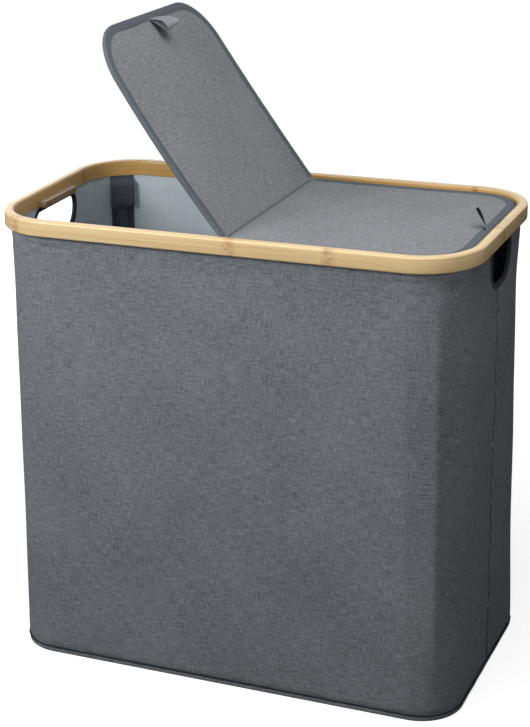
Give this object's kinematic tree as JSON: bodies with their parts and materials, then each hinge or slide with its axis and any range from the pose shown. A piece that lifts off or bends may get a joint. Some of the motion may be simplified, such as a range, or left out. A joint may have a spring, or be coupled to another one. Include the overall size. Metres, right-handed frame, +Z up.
{
  "type": "laundry hamper",
  "caption": "Rectangular cloth laundry hamper with a bamboo hoop rim, a divider between its bins, hinged lids and end handle holes.",
  "frame": {"origin": "on the floor under the middle of the hamper", "axes": "+Z up; X along the length, with the foot of the divider at X = 0; the front faces -Y"},
  "size_m": [0.62, 0.3376, 0.821],
  "materials": {
    "bamboo": "light bamboo, sanded and clear lacquered, satin",
    "wall_cloth": "dark grey linen-look polyester weave, matt",
    "lid_cloth": "mid grey linen-look polyester weave, matt",
    "lining": "pale blue-grey coated lining with fine upright ribs, slight sheen",
    "binding_tape": "blue-grey woven binding tape, matt",
    "fibre_board": "plain brown fibre board",
    "screw_steel": "zinc-plated steel",
    "rod_steel": "grey coated steel rod, satin",
    "cap_plastic": "black vinyl cap",
    "hook_and_loop": "black nylon hook and loop tape"
  },
  "bodies": {
    "root": {"rim_hoop": "bamboo", "grip_bar_left": "bamboo", "grip_bar_right": "bamboo", "grip_screw_left_front": "screw_steel", "grip_screw_left_back": "screw_steel", "grip_screw_right_front": "screw_steel", "grip_screw_right_back": "screw_steel", "handle_binding_left": "binding_tape", "handle_binding_right": "binding_tape", "wall_front": "wall_cloth", "wall_back": "wall_cloth", "lining_front": "lining", "lining_back": "lining", "base_cover": "wall_cloth", "base_welt": "binding_tape", "floor_board_left": "fibre_board", "floor_cover_left": "lining", "floor_board_right": "fibre_board", "floor_cover_right": "lining", "seam_tape_left": "lining", "seam_tape_right": "lining", "divider_board": "fibre_board", "divider_cover": "lining", "lid_hinge_web": "lid_cloth", "support_rod_left_front": "rod_steel", "rod_cap_bottom_left_front": "cap_plastic", "rod_cap_top_left_front": "cap_plastic", "rod_sleeve_left_front": "wall_cloth", "loop_patch_left_front": "hook_and_loop", "support_rod_left_back": "rod_steel", "rod_cap_bottom_left_back": "cap_plastic", "rod_cap_top_left_back": "cap_plastic", "rod_sleeve_left_back": "wall_cloth", "loop_patch_left_back": "hook_and_loop", "support_rod_right_front": "rod_steel", "rod_cap_bottom_right_front": "cap_plastic", "rod_cap_top_right_front": "cap_plastic", "rod_sleeve_right_front": "wall_cloth", "loop_patch_right_front": "hook_and_loop", "support_rod_right_back": "rod_steel", "rod_cap_bottom_right_back": "cap_plastic", "rod_cap_top_right_back": "cap_plastic", "rod_sleeve_right_back": "wall_cloth", "loop_patch_right_back": "hook_and_loop"},
    "lid_left": {"lid_board_left": "fibre_board", "lid_cover_left": "lid_cloth", "lid_binding_left": "binding_tape", "lid_tab_left": "lid_cloth"},
    "lid_right": {"lid_board_right": "fibre_board", "lid_cover_right": "lid_cloth", "lid_binding_right": "binding_tape", "lid_tab_right": "lid_cloth"},
    "flap_left_front": {"rod_flap_left_front": "wall_cloth", "hook_patch_left_front": "hook_and_loop"},
    "flap_left_back": {"rod_flap_left_back": "wall_cloth", "hook_patch_left_back": "hook_and_loop"},
    "flap_right_front": {"rod_flap_right_front": "wall_cloth", "hook_patch_right_front": "hook_and_loop"},
    "flap_right_back": {"rod_flap_right_back": "wall_cloth", "hook_patch_right_back": "hook_and_loop"}
  },
  "joints": [
    {"name": "lid_left_hinge", "type": "hinge", "parent": "root", "child": "lid_left", "pos_m": [0.009, 0, 0.5885], "axis": [0, 1, 0], "range_deg": [-54.5, 29.5]},
    {"name": "lid_right_hinge", "type": "hinge", "parent": "root", "child": "lid_right", "pos_m": [0.009, 0, 0.5885], "axis": [0, -1, 0], "range_deg": [0, 84]},
    {"name": "flap_left_front_hinge", "type": "hinge", "parent": "root", "child": "flap_left_front", "pos_m": [-0.26788, -0.14222, 0.56893], "axis": [0.829, -0.5592, 0], "range_deg": [0, 90]},
    {"name": "flap_left_back_hinge", "type": "hinge", "parent": "root", "child": "flap_left_back", "pos_m": [-0.26788, 0.14222, 0.56893], "axis": [-0.829, -0.5592, 0], "range_deg": [0, 90]},
    {"name": "flap_right_front_hinge", "type": "hinge", "parent": "root", "child": "flap_right_front", "pos_m": [0.26788, -0.14222, 0.56893], "axis": [0.829, 0.5592, 0], "range_deg": [0, 90]},
    {"name": "flap_right_back_hinge", "type": "hinge", "parent": "root", "child": "flap_right_back", "pos_m": [0.26788, 0.14222, 0.56893], "axis": [-0.829, 0.5592, 0], "range_deg": [0, 90]}
  ]
}
